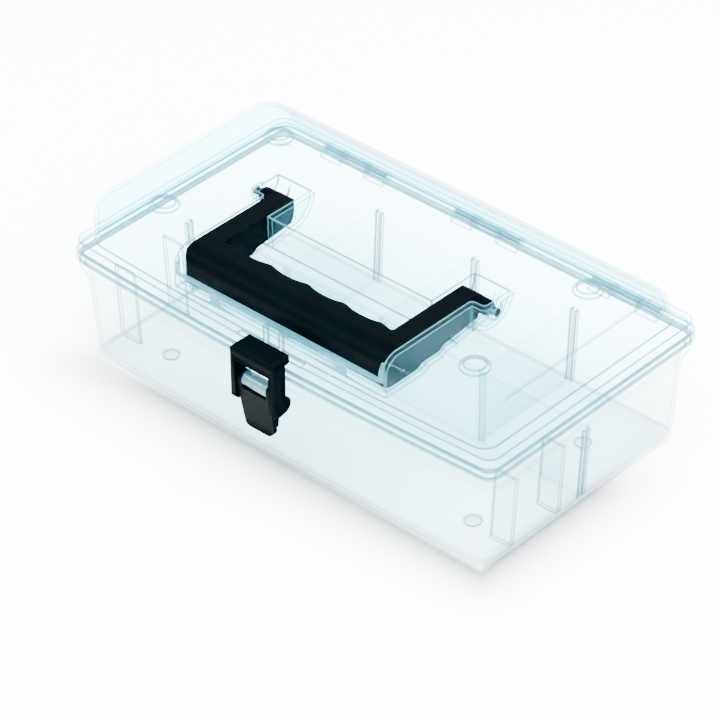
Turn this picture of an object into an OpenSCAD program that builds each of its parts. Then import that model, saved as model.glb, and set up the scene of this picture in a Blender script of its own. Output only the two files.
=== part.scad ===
/* [Case] */
// Length over the lid's skirt
case_l = 290; // [270:1:360]
// Width over the lid's skirt, measured at the corners
case_w = 163; // [150:1:200]
// Height of the closed case, from its feet to the top of the lid
case_h = 99; // [98:1:120]
// How far the front bows out at its middle
front_bow = 3.6; // [2:0.1:5]
// Plan radius of the upright corners
corner_r = 8; // [6:0.5:12]
// Thickness of the clear walls
wall = 1.8; // [1.5:0.1:2.1]

/* [Tub] */
// Height where the tub's wall starts to flare
flare_z = 47; // [42:1:49]
// Rise of the flare
flare_rise = 11.3; // [9:0.1:12]
// Height of the straight band above the flare
band_h = 4; // [3.5:0.1:5]
// How far the wall stands inside the skirt at the floor
floor_inset = 6.8; // [6:0.1:8]
// How far the wall stands inside the skirt where the flare starts
flare_inset = 4.3; // [3.8:0.1:5]
// How far the band stands inside the skirt
band_inset = 0.9; // [0.6:0.1:1.2]
// Radius of the bottom edge
bottom_edge_r = 2.5; // [1.5:0.5:3.5]
// Thickness of the floor
floor_t = 2; // [1.5:0.1:3]
// Height of the collar that stands up inside the lid
collar_h = 3.2; // [2:0.1:3.4]
// Thickness of the collar
collar_t = 1.6; // [1.2:0.1:1.8]
// Gap between the collar and the lid's skirt
collar_gap = 0.4; // [0.3:0.1:0.5]

/* [Feet and stacking sockets] */
// Height of a foot
foot_h = 1.2; // [0.8:0.1:1.6]
// Diameter of a foot
foot_d = 9; // [7:0.1:10]
// Distance of the feet from the ends of the skirt
foot_end_in = 39; // [30:1:50]
// Distance of the front feet behind the skirt
foot_front_in = 32.7; // [28:0.1:38]
// Distance of the back feet in front of the skirt
foot_back_in = 44; // [40:0.1:52]
// Gap round a foot that stands in a socket
socket_gap = 1.4; // [0.5:0.1:1.8]
// Gap under a foot that stands in a socket
socket_drop = 0.3; // [0.1:0.1:0.5]

/* [Dividers] */
// Height of the divider tops above the surface
divider_z = 49.2; // [30:0.1:52]
// Thickness of a divider
divider_t = 1.6; // [1.2:0.1:2.2]
// Distance between the cross dividers
divider_pitch = 68; // [40:1:74]
// Distance of the long divider in front of the middle
long_divider_y = 0.5; // [0:0.5:6]
// Gap between a divider and what holds it
divider_gap = 0.3; // [0.2:0.1:0.5]
// Width of a guide rib
rib_w = 1.2; // [0.8:0.1:1.6]
// Depth of a guide rib
rib_d = 1.8; // [1.2:0.1:2.4]
// Length of the short webs on the end walls
web_l = 14; // [8:1:25]
// Distance of the front webs behind the skirt
web_front_in = 27; // [22:0.5:34]
// Distance between a front web and the web behind it
web_pitch = 36; // [26:0.5:40]

/* [Lid] */
// Gap between the tub's band and the lid's skirt
skirt_gap = 0.3; // [0.2:0.1:0.6]
// Height of the skirt's lower band
skirt_low_h = 5.6; // [5.4:0.1:7]
// Height of the skirt's upper band, up to the flange
skirt_up_h = 6; // [5:0.1:6.6]
// How far the upper band stands inside the lower one
skirt_step = 1.2; // [0.8:0.1:1.6]
// Distance of the dome's foot inside the skirt at the ends
dome_end_inset = 8.3; // [7:0.1:10]
// Distance of the dome's foot inside the skirt at the front
dome_front_inset = 6; // [5.6:0.1:6.2]
// Distance of the dome's foot inside the skirt at the back
dome_back_inset = 7; // [6:0.1:9]
// Plan radius of the dome's corners
dome_corner_r = 9; // [7:0.5:12]
// Edge radius of the dome at the front
dome_front_r = 11; // [8:0.5:13]
// Edge radius of the dome at the back
dome_back_r = 17; // [12:0.5:18]
// Edge radius of the dome at its ends
dome_end_r = 3; // [2.4:0.1:5]
// Slope of the dome's back wall, in degrees
dome_back_slope = 20; // [12:1:24]
// Distance of the two rails on the dome's front from the middle
rail_x = 5.2; // [4:0.1:8]
// Width of a front rail
rail_w = 3; // [2:0.1:4]
// Thickness of a front rail
rail_t = 1; // [0.6:0.1:1.4]

/* [Handle recess] */
// Half the width of the bay that the grip lies in
bay_half_w = 70.5; // [69:0.5:76]
// Depth of the grip's bay below the lid's top
bay_deep = 22.6; // [21.5:0.1:22.8]
// Depth of the step behind the grip
bay_mid = 20.4; // [19.6:0.1:21]
// Depth of the arms' channels where they leave the bay
bay_shallow = 18.2; // [17.4:0.1:18.6]
// Depth of the channels at the pivots
pivot_deep = 15.6; // [15.2:0.1:16]
// Distance of the bay's straight front wall behind the skirt
bay_front_in = 6.3; // [6.1:0.1:7.2]
// Distance from the bay's front wall to its back wall
bay_run = 51.2; // [48:0.1:56]
// Distance from the bay's front wall to the first step in its floor
bay_step_run = 28.7; // [26:0.1:32]
// Length of a ramp between two steps
bay_ramp_l = 3; // [2:0.5:4]
// Length of the middle step
bay_mid_l = 10; // [6:0.5:12]
// Depth of the front lip below the lid's top
lip_deep = 13.8; // [12:0.1:15]
// How far the lip ends inside the bay's sides
lip_inset = 1.5; // [1:0.1:3]
// Width and depth of the groove along the lip
lip_groove = 1.1; // [0.6:0.1:1.6]
// Width of an arm's channel behind the bay, from the bay's side
channel_w = 14.2; // [13:0.1:16]
// Reach of a pivot pocket beyond the bay's side
pocket_w = 8.5; // [7.5:0.1:12]
// Front of a pivot pocket, from the pivot
pocket_front = 5.8; // [5.2:0.1:8]
// Plan radius of a pocket's front corners
pocket_corner_r = 2.5; // [1.5:0.1:3]
// Back of a pivot pocket, from the pivot
pocket_back = 13.1; // [12.6:0.1:15]
// Thickness of the recess's walls
recess_wall = 1.6; // [1.2:0.1:2]
// Length of the bearing ring outside a pocket
bearing_l = 2; // [1:0.1:3]

/* [Handle] */
// Gap between the handle and the bay at each side
handle_gap = 1; // [0.6:0.1:1.6]
// Gap between the grip and the bay's front wall
grip_gap = 1.4; // [1.2:0.1:2.4]
// Gap under the handle
under_gap = 1; // [0.7:0.1:1.2]
// Width of an arm
arm_w = 11.5; // [9:0.1:12]
// Distance from the bay's front wall to the pivots
pivot_run = 70.7; // [68:0.1:74]
// How far the handle's top lies below the lid's top
handle_drop = 0.4; // [0.2:0.1:0.8]
// Depth of the grip from its front face to its finger crests
grip_w = 20; // [16:0.5:22]
// Radius of the grip's front top edge
grip_front_r = 10; // [6:0.5:11]
// Radius of the grip's other long edges
grip_edge_r = 3; // [2:0.5:4]
// Plan radius of the handle's outer corners
grip_corner_r = 5; // [3:0.5:8]
// Plan radius of the handle's inner corners
grip_inner_r = 1.5; // [1:0.1:4]
// Distance between the finger crests
finger_pitch = 25; // [22:0.5:26]
// Depth of a finger hollow
finger_deep = 2; // [0.5:0.1:2.6]
// Wall of the handle's hollow underside
handle_wall = 2.2; // [1.8:0.1:2.6]
// Thickness of the webs under the grip
grip_web_t = 1.6; // [1.2:0.1:2]
// Radius of the knuckle at an arm's end, level with the handle's top
boss_r = 4.6; // [4:0.1:5]
// Gap between a boss and the side of its pocket
boss_gap = 1; // [0.4:0.1:2]
// Radius of the pivot pins
pivot_pin_r = 2.2; // [1.8:0.1:2.6]
// Running gap of every pin in its bore
pin_gap = 0.05; // [0.03:0.01:0.09]

/* [Hinge] */
// Distance of the hinge axis behind the skirt
hinge_out = 3.6; // [3.6:0.1:4.6]
// Radius of a hinge knuckle
knuckle_r = 3.3; // [2.8:0.1:3.3]
// Length of one hinge
hinge_l = 45; // [38:1:52]
// Distance of the outer hinges from the ends of the skirt
hinge_end_in = 51; // [45:1:75]
// Length of the lid's knuckle in the middle of a hinge
lid_knuckle_l = 17; // [12:1:24]
// Gap between knuckles
knuckle_gap = 0.5; // [0.3:0.1:1]
// Radius of a hinge pin
hinge_pin_r = 1.3; // [1:0.1:1.6]

/* [Latch] */
// Width of the latch hook
hook_w = 31.4; // [30:0.2:36]
// Depth of the latch hook's sides
hook_deep = 8.3; // [7:0.1:9]
// Distance of the hook's face in front of the skirt
hook_out = 11.2; // [10.8:0.1:12]
// Thickness of the hook's face
hook_t = 2.2; // [1.8:0.1:2.4]
// Width of a hook's leg
leg_w = 4.2; // [3.6:0.1:4.4]
// Thickness of the plate that grips the lid
hook_top_t = 3.6; // [3:0.1:5]
// Radius of the hook's long edges
hook_edge_r = 2; // [1:0.1:2.4]
// How far the hook reaches back past the skirt's face
hook_grip = 2.8; // [2:0.1:3.2]
// Height of the hook's face above its window
hook_face_h = 9; // [7:0.1:11]
// Gap between the hook and its landing on the flange
hook_gap = 0.5; // [0.5:0.1:0.8]
// Depth of the landing in the flange
landing_d = 0.6; // [0.3:0.1:0.9]
// Half the width of the landing
landing_half_w = 22; // [19:0.5:26]
// Radius of the clear bar that the lever turns on
bar_r = 4; // [3.6:0.1:4]
// Width of the clear bar
bar_w = 16; // [14:0.5:16]
// Distance of the clear bar in front of the skirt
bar_out = 5.9; // [5.6:0.1:6.2]
// Height of the clear bar below the flange's top
bar_drop = 17; // [16:0.1:18]
// Radius of the latch pins
latch_pin_r = 2; // [1.6:0.1:2.2]
// Distance of the hook's pins below the bar
link_drop = 7; // [6:0.1:8]
// Distance of the hook's pins behind the bar
link_back = 1.6; // [1:0.1:2]
// Radius of the lobe at the end of a hook's leg
lobe_r = 5; // [4.4:0.1:5.2]
// Thickness of a lever's arm
lever_arm_t = 2.8; // [2.2:0.1:3]
// Side gap between the latch's pieces
latch_gap = 0.35; // [0.3:0.05:0.5]
// Length of the lever's tongue, from the bar to its tip
tongue_l = 29; // [24:0.5:34]
// Thickness of the tongue
tongue_t = 2.6; // [2:0.1:3]
// Lean of the tongue towards the case, in degrees
tongue_lean = 8; // [4:1:12]

/* [Hidden] */
$fn = 48;
clear_colour = [0.86, 0.95, 0.97, 0.45];
black_colour = [0.05, 0.08, 0.10];
steel_colour = [0.75, 0.76, 0.78];
// Overrun of every cut, and the thickness of a slab that a blend runs through
over = 6;
slab_t = 0.02;
// Steps along a plan corner, along the bowed front and along a rounded profile
corner_steps = 6;
bow_steps = 12;
arc_steps = 6;
flare_shares = [0, 0.55, 1];
edge_angles = [90, 60, 30, 0];

half_l = case_l / 2;
channel_in_x = bay_half_w - channel_w;
pocket_x = bay_half_w + pocket_w;
foot_x = half_l - foot_end_in;
foot_front_y = case_w / 2 - foot_front_in;
foot_back_y = case_w / 2 - foot_back_in;
web_front_y = case_w / 2 - web_front_in;
web_mid_y = web_front_y - web_pitch;
bay_front_y = case_w / 2 - bay_front_in;
bay_back_y = bay_front_y - bay_run;
bay_step_y = bay_front_y - bay_step_run;
pivot_y = bay_front_y - pivot_run;
hinge_pitch = half_l - hinge_end_in;
half_w = case_w / 2;
front_y = half_w + front_bow;
band_z = flare_z + flare_rise;
rim_z = band_z + band_h;
lid_z = rim_z + skirt_gap;
shoulder_z = lid_z + skirt_low_h;
flange_z = shoulder_z + skirt_up_h;
floor_z = foot_h + floor_t;
collar_in = wall + collar_gap;
rim_in = collar_in + collar_t;
inner_corner_r = corner_r - wall;
// The case is drawn about the middle of its plan and then moved until its whole box is centred
shift_y = (front_bow + hook_out - hinge_out - knuckle_r) / 2;

module placed() {
    translate([0, shift_y, 0])
        children();
}

// Points of an arc about (cy, cz) from angle a to angle b
function arc(cy, cz, r, a, b, steps = arc_steps) =
    [for (i = [0:steps]) let (t = a + (b - a) * i / steps) [cy + r * cos(t), cz + r * sin(t)]];

// Plan outline with round corners and a bowed front; the insets are measured from the skirt
function plan(end_in, front_in, back_in, r) =
    let (
        cx = half_l - end_in - r,
        cf = -half_w + front_in + r,
        cb = half_w - back_in - r,
        turn = 2 * atan(front_bow / cx),
        half_chord = cx + r * sin(turn),
        bow_r = half_chord / sin(turn),
        bow_y = cf - r * cos(turn) + bow_r * cos(turn)
    )
    concat(
        arc(cx, cb, r, 0, 90, corner_steps),
        arc(-cx, cb, r, 90, 180, corner_steps),
        arc(-cx, cf, r, 180, 270 - turn, corner_steps),
        [for (i = [1:bow_steps - 1]) let (t = turn * (2 * i / bow_steps - 1))
            [bow_r * sin(t), bow_y - bow_r * cos(t)]],
        arc(cx, cf, r, 270 + turn, 360, corner_steps)
    );

module even_plan(inset, r) {
    polygon(plan(inset, inset, inset, r));
}

module slab(z, inset, r) {
    translate([0, 0, z])
        linear_extrude(slab_t)
            even_plan(inset, r);
}

module ring(z, h, outer_in, inner_in, outer_r, inner_r) {
    translate([0, 0, z])
        linear_extrude(h)
            difference() {
                even_plan(outer_in, outer_r);
                even_plan(inner_in, inner_r);
            }
}

// A profile drawn in Y and Z and run along X
module along_x(x, l) {
    translate([x, 0, 0])
        rotate([90, 0, 90])
            linear_extrude(l)
                children();
}

// A profile drawn in X and Z and run along Y
module along_y(y, l) {
    translate([0, y + l, 0])
        rotate([90, 0, 0])
            linear_extrude(l)
                children();
}

module both_sides() {
    children();
    mirror([1, 0, 0])
        children();
}

module pin_x(x, y, z, l, r) {
    translate([x, y, z])
        rotate([0, 90, 0])
            cylinder(h = l, r = r);
}

// Inset of the tub's wall at a height, and its inset along the flare
function wall_in(z) = floor_inset + (flare_inset - floor_inset) * (z - foot_h) / (flare_z - foot_h);
function flare_in(share, foot, head) = foot + (head - foot) * share * share;

module tub_body(grow, foot, edge_r) {
    hull() {
        for (a = edge_angles)
            slab(foot + edge_r * (1 - sin(a)), wall_in(foot) + grow + edge_r * (1 - cos(a)),
                 corner_r - grow);
        slab(flare_z, flare_inset + grow, corner_r - grow);
    }
}

module tub_flare(grow, head) {
    for (i = [1:len(flare_shares) - 1])
        hull() {
            slab(flare_z + flare_rise * flare_shares[i - 1],
                 flare_in(flare_shares[i - 1], flare_inset + grow, head), corner_r - grow);
            slab(flare_z + flare_rise * flare_shares[i],
                 flare_in(flare_shares[i], flare_inset + grow, head), corner_r - grow);
        }
}

module tub_outside() {
    tub_body(0, foot_h, bottom_edge_r);
    tub_flare(0, band_inset);
    translate([0, 0, band_z])
        linear_extrude(band_h)
            even_plan(band_inset, corner_r);
    translate([0, 0, band_z])
        linear_extrude(band_h + collar_h)
            even_plan(collar_in, inner_corner_r);
}

module tub_inside() {
    tub_body(wall, floor_z, bottom_edge_r - wall / 2);
    tub_flare(wall, rim_in);
    translate([0, 0, band_z])
        linear_extrude(band_h + collar_h + over)
            even_plan(rim_in, corner_r - wall - collar_t);
}

// Two guide ribs with a divider's slot between them, standing on a leaning end or back wall
module rib_outline(run_foot, run_head, foot, head) {
    polygon([
        [run_foot + wall / 2, foot], [run_head + wall / 2, head],
        [run_head - rib_d, head], [run_foot - rib_d, foot]
    ]);
}

module rib_pair(y) {
    for (s = [-1, 1])
        translate([0, s * (divider_t / 2 + divider_gap + rib_w / 2), 0])
            along_y(y - rib_w / 2, rib_w)
                rib_outline(half_l - wall_in(floor_z) - wall, half_l - wall_in(rib_top) - wall,
                            floor_z - floor_t / 2, rib_top);
}

module back_rib_pair(x) {
    for (s = [-1, 1])
        along_x(x + s * (divider_t / 2 + divider_gap + rib_w / 2) - rib_w / 2, rib_w)
            rib_outline(half_w - wall_in(floor_z) - wall, half_w - wall_in(rib_top) - wall,
                        floor_z - floor_t / 2, rib_top);
}

rib_top = min(divider_z - divider_t, flare_z - slab_t);
web_top = min(divider_z, flare_z - slab_t);

module web(y) {
    along_y(y - divider_t / 2, divider_t)
        polygon([
            [half_l - wall_in(floor_z) - wall / 2, floor_z - floor_t / 2],
            [half_l - wall_in(web_top) - wall / 2, web_top],
            [half_l - wall_in(web_top) - wall - web_l + divider_t, web_top],
            [half_l - wall_in(web_top) - wall - web_l, web_top - divider_t],
            [half_l - wall_in(floor_z) - wall - web_l, floor_z - floor_t / 2]
        ]);
}

bar_y = -(front_y + bar_out);
bar_z = flange_z - bar_drop;

// The clear bar in front of the tub, on a lug that grows out of the wall
module latch_bar() {
    lug_h = bar_r * 2;
    pin_x(-bar_w / 2, bar_y, bar_z, bar_w, bar_r);
    pin_x(-bar_w / 2 - latch_gap - lever_arm_t, bar_y, bar_z,
          bar_w + 2 * (latch_gap + lever_arm_t), latch_pin_r);
    along_x(-bar_w / 2, bar_w)
        polygon([
            [bar_y, bar_z - bar_r], [-front_y + flare_inset + wall / 2, bar_z - lug_h],
            [-front_y + band_inset + wall, bar_z + lug_h / 2], [bar_y, bar_z + bar_r]
        ]);
}

hinge_y = half_w + hinge_out;
hinge_z = lid_z;
tub_knuckle_l = (hinge_l - lid_knuckle_l) / 2 - knuckle_gap;

module tub_knuckle(x) {
    pin_x(x, hinge_y, hinge_z, tub_knuckle_l, knuckle_r);
    along_x(x, tub_knuckle_l)
        polygon([
            [half_w - band_inset - wall / 2, rim_z], [hinge_y, rim_z],
            [hinge_y, hinge_z - knuckle_r], [half_w - band_inset - wall / 2, band_z]
        ]);
}

module tub() {
    color(clear_colour)
        placed()
            difference() {
                union() {
                    difference() {
                        tub_outside();
                        tub_inside();
                    }
                    for (x = [-foot_x, foot_x], y = [-foot_front_y, foot_back_y])
                        translate([x, y, 0])
                            cylinder(h = foot_h + floor_t / 2, d = foot_d);
                    both_sides() {
                        rib_pair(-long_divider_y);
                        web(-web_front_y);
                        web(-web_mid_y);
                    }
                    for (x = [-divider_pitch, 0, divider_pitch])
                        back_rib_pair(x);
                    latch_bar();
                    for (c = [-hinge_pitch, 0, hinge_pitch]) {
                        tub_knuckle(c - hinge_l / 2);
                        tub_knuckle(c + hinge_l / 2 - tub_knuckle_l);
                    }
                }
                for (c = [-hinge_pitch, 0, hinge_pitch])
                    pin_x(c - hinge_l / 2 - over, hinge_y, hinge_z, hinge_l + 2 * over,
                          hinge_pin_r + pin_gap);
            }
}

dome_front_z = case_h - dome_front_r;
dome_back_z = case_h - dome_back_r;

// Levels of the dome, from its foot to its top, and how far it has drawn in at each
level_angles = [dome_back_slope, 33, 46, 58, 70, 80, 90];
function edge_in(z, centre_z, r) = z > centre_z ? r - sqrt(max(0, r * r - pow(z - centre_z, 2))) : 0;
function back_run(z, t) =
    let (
        r = dome_back_r - t,
        meet_z = dome_back_z + r * sin(dome_back_slope),
        lean = (meet_z - flange_z) * tan(dome_back_slope)
    )
    z < meet_z ? (z - flange_z) * tan(dome_back_slope)
               : lean + r * cos(dome_back_slope) - sqrt(max(0, r * r - pow(z - dome_back_z, 2)));

module dome_slab(z, t) {
    translate([0, 0, z])
        linear_extrude(slab_t)
            polygon(plan(
                dome_end_inset + t + edge_in(z, case_h - dome_end_r, dome_end_r - t),
                dome_front_inset + t + edge_in(z, dome_front_z, dome_front_r - t),
                dome_back_inset + t + back_run(z, t),
                dome_corner_r - t));
}

module dome(t, foot) {
    hull() {
        dome_slab(foot, t);
        for (a = level_angles)
            dome_slab(dome_back_z + (dome_back_r - t) * sin(a) - slab_t, t);
    }
}

// Floor line of the recess, from its front wall to the back of the bay, as depths below the top
bay_floor = [
    [-bay_front_y, bay_deep], [-bay_step_y, bay_deep],
    [-bay_step_y + bay_ramp_l, bay_mid], [-bay_step_y + bay_ramp_l + bay_mid_l, bay_mid],
    [-bay_step_y + 2 * bay_ramp_l + bay_mid_l, bay_shallow]
];
bay_turn_y = -bay_step_y + 2 * bay_ramp_l + bay_mid_l;

module bay_outline(g) {
    fillet = grip_edge_r;
    polygon(concat(
        [[-bay_back_y + g, case_h + over], [-bay_front_y - g, case_h + over]],
        arc(-bay_front_y - g + fillet, case_h - bay_deep - g + fillet, fillet, 180, 270),
        [for (i = [1:len(bay_floor) - 1]) [bay_floor[i][0], case_h - bay_floor[i][1] - g]],
        [[-bay_back_y + g, case_h - bay_shallow - g]]
    ));
}

module channel_outline(g) {
    polygon(concat(
        [[-bay_back_y - bay_ramp_l, case_h + over],
         [-bay_back_y - bay_ramp_l, case_h - bay_shallow - g]],
        [for (i = [0:arc_steps * 2]) let (t = -90 + 90 * i / arc_steps / 2)
            [-pivot_y + (pocket_back + g) * cos(t), case_h + (pivot_deep + g) * sin(t)]],
        [[-pivot_y + pocket_back + g, case_h + over]]
    ));
}

module pocket_outline(g) {
    polygon(concat(
        [[-pivot_y - pocket_front - g, case_h + over],
         [-pivot_y - pocket_front - g, case_h - pocket_back - g]],
        arc(-pivot_y, case_h, pocket_back + g, -90, 0, arc_steps * 2),
        [[-pivot_y + pocket_back + g, case_h + over]]
    ));
}

// Plan of the round corner where a channel's side turns out into a pocket
module turn_plan(g) {
    x = bay_half_w + g;
    y = -pivot_y - pocket_front - g;
    r = pocket_corner_r - g;
    polygon(concat(
        [[x - recess_wall, y + recess_wall], [x - recess_wall, y - r]],
        arc(x + r, y - r, r, 180, 90),
        [[x + r, y + recess_wall]]
    ));
}

// Plan of a pocket with its round outer corner
module pocket_plan(g) {
    x = pocket_x + g;
    y = -pivot_y - pocket_front - g;
    polygon(concat(
        [[bay_half_w - recess_wall, y]],
        arc(x - pocket_corner_r - g, y + pocket_corner_r + g, pocket_corner_r + g, 270, 360),
        [[x, -pivot_y + pocket_back + g + over],
         [bay_half_w - recess_wall, -pivot_y + pocket_back + g + over]]
    ));
}

module recess(g) {
    along_x(-bay_half_w - g, 2 * (bay_half_w + g))
        bay_outline(g);
    both_sides() {
        along_x(channel_in_x - g, bay_half_w - channel_in_x + 2 * g)
            channel_outline(g);
        intersection() {
            along_x(bay_half_w - recess_wall, pocket_x - bay_half_w + recess_wall + g)
                pocket_outline(g);
            linear_extrude(case_h + over)
                pocket_plan(g);
        }
        translate([0, 0, case_h - pocket_back - g])
            linear_extrude(pocket_back + g + over)
                turn_plan(g);
    }
}

pivot_z = case_h - handle_drop - boss_r;
socket_d = foot_d + 2 * socket_gap;
socket_deep = foot_h + socket_drop;

module socket_wall(x, y) {
    translate([x, y, case_h - socket_deep - wall])
        cylinder(h = socket_deep + wall / 2, d = socket_d + 2 * wall);
}

module lid_skirt() {
    ring(lid_z, skirt_low_h, 0, wall, corner_r, inner_corner_r);
    ring(shoulder_z - wall, wall, wall / 2, skirt_step + wall, corner_r - wall / 2, inner_corner_r);
    ring(shoulder_z - wall / 2, skirt_up_h + wall / 2, skirt_step, skirt_step + wall,
         corner_r, inner_corner_r);
}

module flange_plan(t) {
    polygon(plan(dome_end_inset + t, dome_front_inset + t, dome_back_inset + t, dome_corner_r - t));
}

module lid_flange() {
    translate([0, 0, flange_z - wall])
        linear_extrude(wall)
            difference() {
                even_plan(skirt_step + wall / 2, corner_r - wall / 2);
                flange_plan(wall);
            }
}

module front_rails() {
    for (x = [-rail_x, rail_x])
        translate([x - rail_w / 2, -front_y + dome_front_inset - rail_t, flange_z - wall / 2])
            cube([rail_w, rail_t + wall / 2, case_h - lip_deep - rail_t - flange_z + wall / 2]);
}

module lid_knuckle(c) {
    pin_x(c - lid_knuckle_l / 2, hinge_y, hinge_z, lid_knuckle_l, knuckle_r);
    along_x(c - lid_knuckle_l / 2, lid_knuckle_l)
        polygon([
            [half_w - wall / 2, hinge_z], [hinge_y, hinge_z],
            [hinge_y, hinge_z + knuckle_r], [half_w - wall / 2, shoulder_z]
        ]);
}

module lid() {
    color(clear_colour)
        placed()
            difference() {
                union() {
                    difference() {
                        dome(0, flange_z - wall);
                        difference() {
                            dome(wall, flange_z - wall - over);
                            recess(recess_wall);
                            for (x = [-foot_x, foot_x], y = [-foot_front_y, foot_back_y])
                                socket_wall(x, y);
                            both_sides()
                                pin_x(pocket_x + recess_wall / 2, -pivot_y, pivot_z,
                                      bearing_l + recess_wall / 2, boss_r);
                        }
                    }
                    lid_skirt();
                    lid_flange();
                    front_rails();
                    for (c = [-hinge_pitch, 0, hinge_pitch])
                        lid_knuckle(c);
                }
                recess(0);
                translate([-bay_half_w + lip_inset, -front_y - over, case_h - lip_deep])
                    cube([2 * (bay_half_w - lip_inset), front_y + over - bay_front_y + lip_inset,
                          lip_deep + over]);
                translate([-bay_half_w, -bay_front_y - lip_groove - lip_inset / 2,
                           case_h - lip_deep - lip_groove])
                    cube([2 * bay_half_w, lip_groove, lip_groove + over]);
                for (x = [-foot_x, foot_x], y = [-foot_front_y, foot_back_y])
                    translate([x, y, case_h - socket_deep])
                        cylinder(h = socket_deep + over, d = socket_d);
                translate([-landing_half_w, -front_y - over, flange_z - landing_d])
                    cube([2 * landing_half_w, over + dome_front_inset - rail_t, landing_d + over]);
                both_sides()
                    pin_x(pocket_x - recess_wall, -pivot_y, pivot_z, 3 * recess_wall + bearing_l,
                          pivot_pin_r + pin_gap);
                for (c = [-hinge_pitch, 0, hinge_pitch])
                    pin_x(c - hinge_l / 2, hinge_y, hinge_z, hinge_l, hinge_pin_r + pin_gap);
            }
}

handle_half_w = bay_half_w - handle_gap;
handle_front_y = bay_front_y - grip_gap;
handle_top_z = case_h - handle_drop;
crest_y = handle_front_y - grip_w;
grip_foot_z = case_h - bay_deep + under_gap;

// Side outline of the handle: round front edge, stepped underside and round arm end
module handle_side(g) {
    polygon(concat(
        arc(-handle_front_y + grip_front_r, handle_top_z - grip_front_r, grip_front_r - g, 90, 180),
        arc(-handle_front_y + grip_edge_r, grip_foot_z + grip_edge_r, grip_edge_r - g, 180, 270),
        [
            [-bay_step_y - bay_ramp_l, grip_foot_z + g],
            [-bay_step_y, case_h - bay_mid + under_gap + g],
            [bay_turn_y - bay_ramp_l, case_h - bay_mid + under_gap + g],
            [bay_turn_y, case_h - bay_shallow + under_gap + g]
        ],
        [[-pivot_y, case_h - pivot_deep + under_gap + g]],
        arc(-pivot_y, pivot_z, boss_r - g, -20, 90, arc_steps * 2)
    ));
}

// Plan outline of the handle: a bar with finger hollows and an arm at each end
module handle_plan(g) {
    in_x = handle_half_w - arm_w + g;
    out_x = handle_half_w - g;
    front = -handle_front_y + g;
    back = -pivot_y + boss_r + over;
    run = in_x - grip_inner_r;
    waves = round(2 * run / finger_pitch * arc_steps * 2);
    end_y = -crest_y - g - finger_deep * abs(sin(180 * run / finger_pitch));
    polygon(concat(
        [[out_x, back], [in_x, back]],
        arc(run, end_y + grip_inner_r, grip_inner_r, 0, -90),
        [for (i = [1:waves - 1]) let (x = run * (1 - 2 * i / waves))
            [x, -crest_y - g - finger_deep * abs(sin(180 * x / finger_pitch))]],
        arc(-run, end_y + grip_inner_r, grip_inner_r, -90, -180),
        [[-in_x, back], [-out_x, back]],
        arc(-out_x + grip_corner_r, front + grip_corner_r, grip_corner_r, 180, 270),
        arc(out_x - grip_corner_r, front + grip_corner_r, grip_corner_r, 270, 360)
    ));
}

module handle_solid(g, sink) {
    intersection() {
        translate([0, 0, -sink])
            along_x(-handle_half_w, 2 * handle_half_w)
                handle_side(g);
        linear_extrude(case_h)
            handle_plan(g);
    }
}

module handle() {
    color(black_colour)
        placed()
            difference() {
                union() {
                    handle_solid(0, 0);
                    both_sides() {
                        pin_x(handle_half_w - arm_w / 2, -pivot_y, pivot_z,
                              arm_w / 2 + pocket_x - boss_gap - handle_half_w,
                              boss_r - handle_drop / 2);
                        pin_x(handle_half_w, -pivot_y, pivot_z,
                              pocket_x + recess_wall + bearing_l - handle_half_w, pivot_pin_r);
                    }
                }
                difference() {
                    handle_hollow();
                    handle_webs();
                }
            }
}

// The underside is hollow along the grip and along the front of each arm
module handle_hollow() {
    intersection() {
        translate([0, 0, -handle_wall])
            handle_solid(handle_wall, 0);
        translate([-half_l, -half_w, 0])
            cube([case_l, half_w - pivot_y - boss_r - handle_wall, case_h]);
    }
}

module handle_webs() {
    for (i = [-2:2])
        translate([i * finger_pitch - grip_web_t / 2, -half_w, 0])
            cube([grip_web_t, case_w, case_h]);
}

link_y = bar_y + link_back;
link_z = bar_z - link_drop;
arm_in_x = bar_w / 2 + latch_gap;
arm_out_x = arm_in_x + lever_arm_t;
tongue_head_r = bar_r + latch_gap;
tongue_front_y = bar_y - bar_r;
tip_z = bar_z - tongue_l;

tongue_run = (tongue_l - bar_r) * tan(tongue_lean);

// An arm of the lever: it turns on the bar, carries the hook's pin and runs down the tongue's side
module lever_arm() {
    pin_x(arm_in_x, bar_y, bar_z, lever_arm_t, bar_r);
    pin_x(arm_in_x, link_y, link_z, lever_arm_t, bar_r - tongue_t / 4);
    along_x(arm_in_x, lever_arm_t)
        polygon([
            [bar_y - bar_r, bar_z], [tongue_front_y, bar_z - tongue_head_r],
            [tongue_front_y + tongue_run, tip_z + tongue_t + bar_r],
            [tongue_front_y + tongue_run + tongue_t, tip_z + tongue_t + bar_r],
            [link_y + bar_r / 2, link_z - bar_r / 2],
            [link_y + bar_r - tongue_t / 4, link_z], [bar_y + bar_r, bar_z]
        ]);
}

module tongue() {
    intersection() {
        along_x(-arm_out_x, 2 * arm_out_x)
            polygon([
                [tongue_front_y, bar_z - tongue_head_r],
                [tongue_front_y + tongue_run, tip_z + tongue_t],
                [tongue_front_y + tongue_run - tongue_t / 3, tip_z],
                [tongue_front_y + tongue_run + tongue_t * 2 / 3, tip_z],
                [tongue_front_y + tongue_run + tongue_t, tip_z + tongue_t],
                [tongue_front_y + tongue_t, bar_z - tongue_head_r]
            ]);
        along_y(-case_w, case_w)
            polygon(concat(
                [[arm_out_x, bar_z], [-arm_out_x, bar_z]],
                arc(-arm_out_x + bar_r + tongue_t / 3, tip_z + bar_r, bar_r, 180, 270),
                arc(arm_out_x - bar_r - tongue_t / 3, tip_z + bar_r, bar_r, 270, 360)
            ));
    }
}

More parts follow.
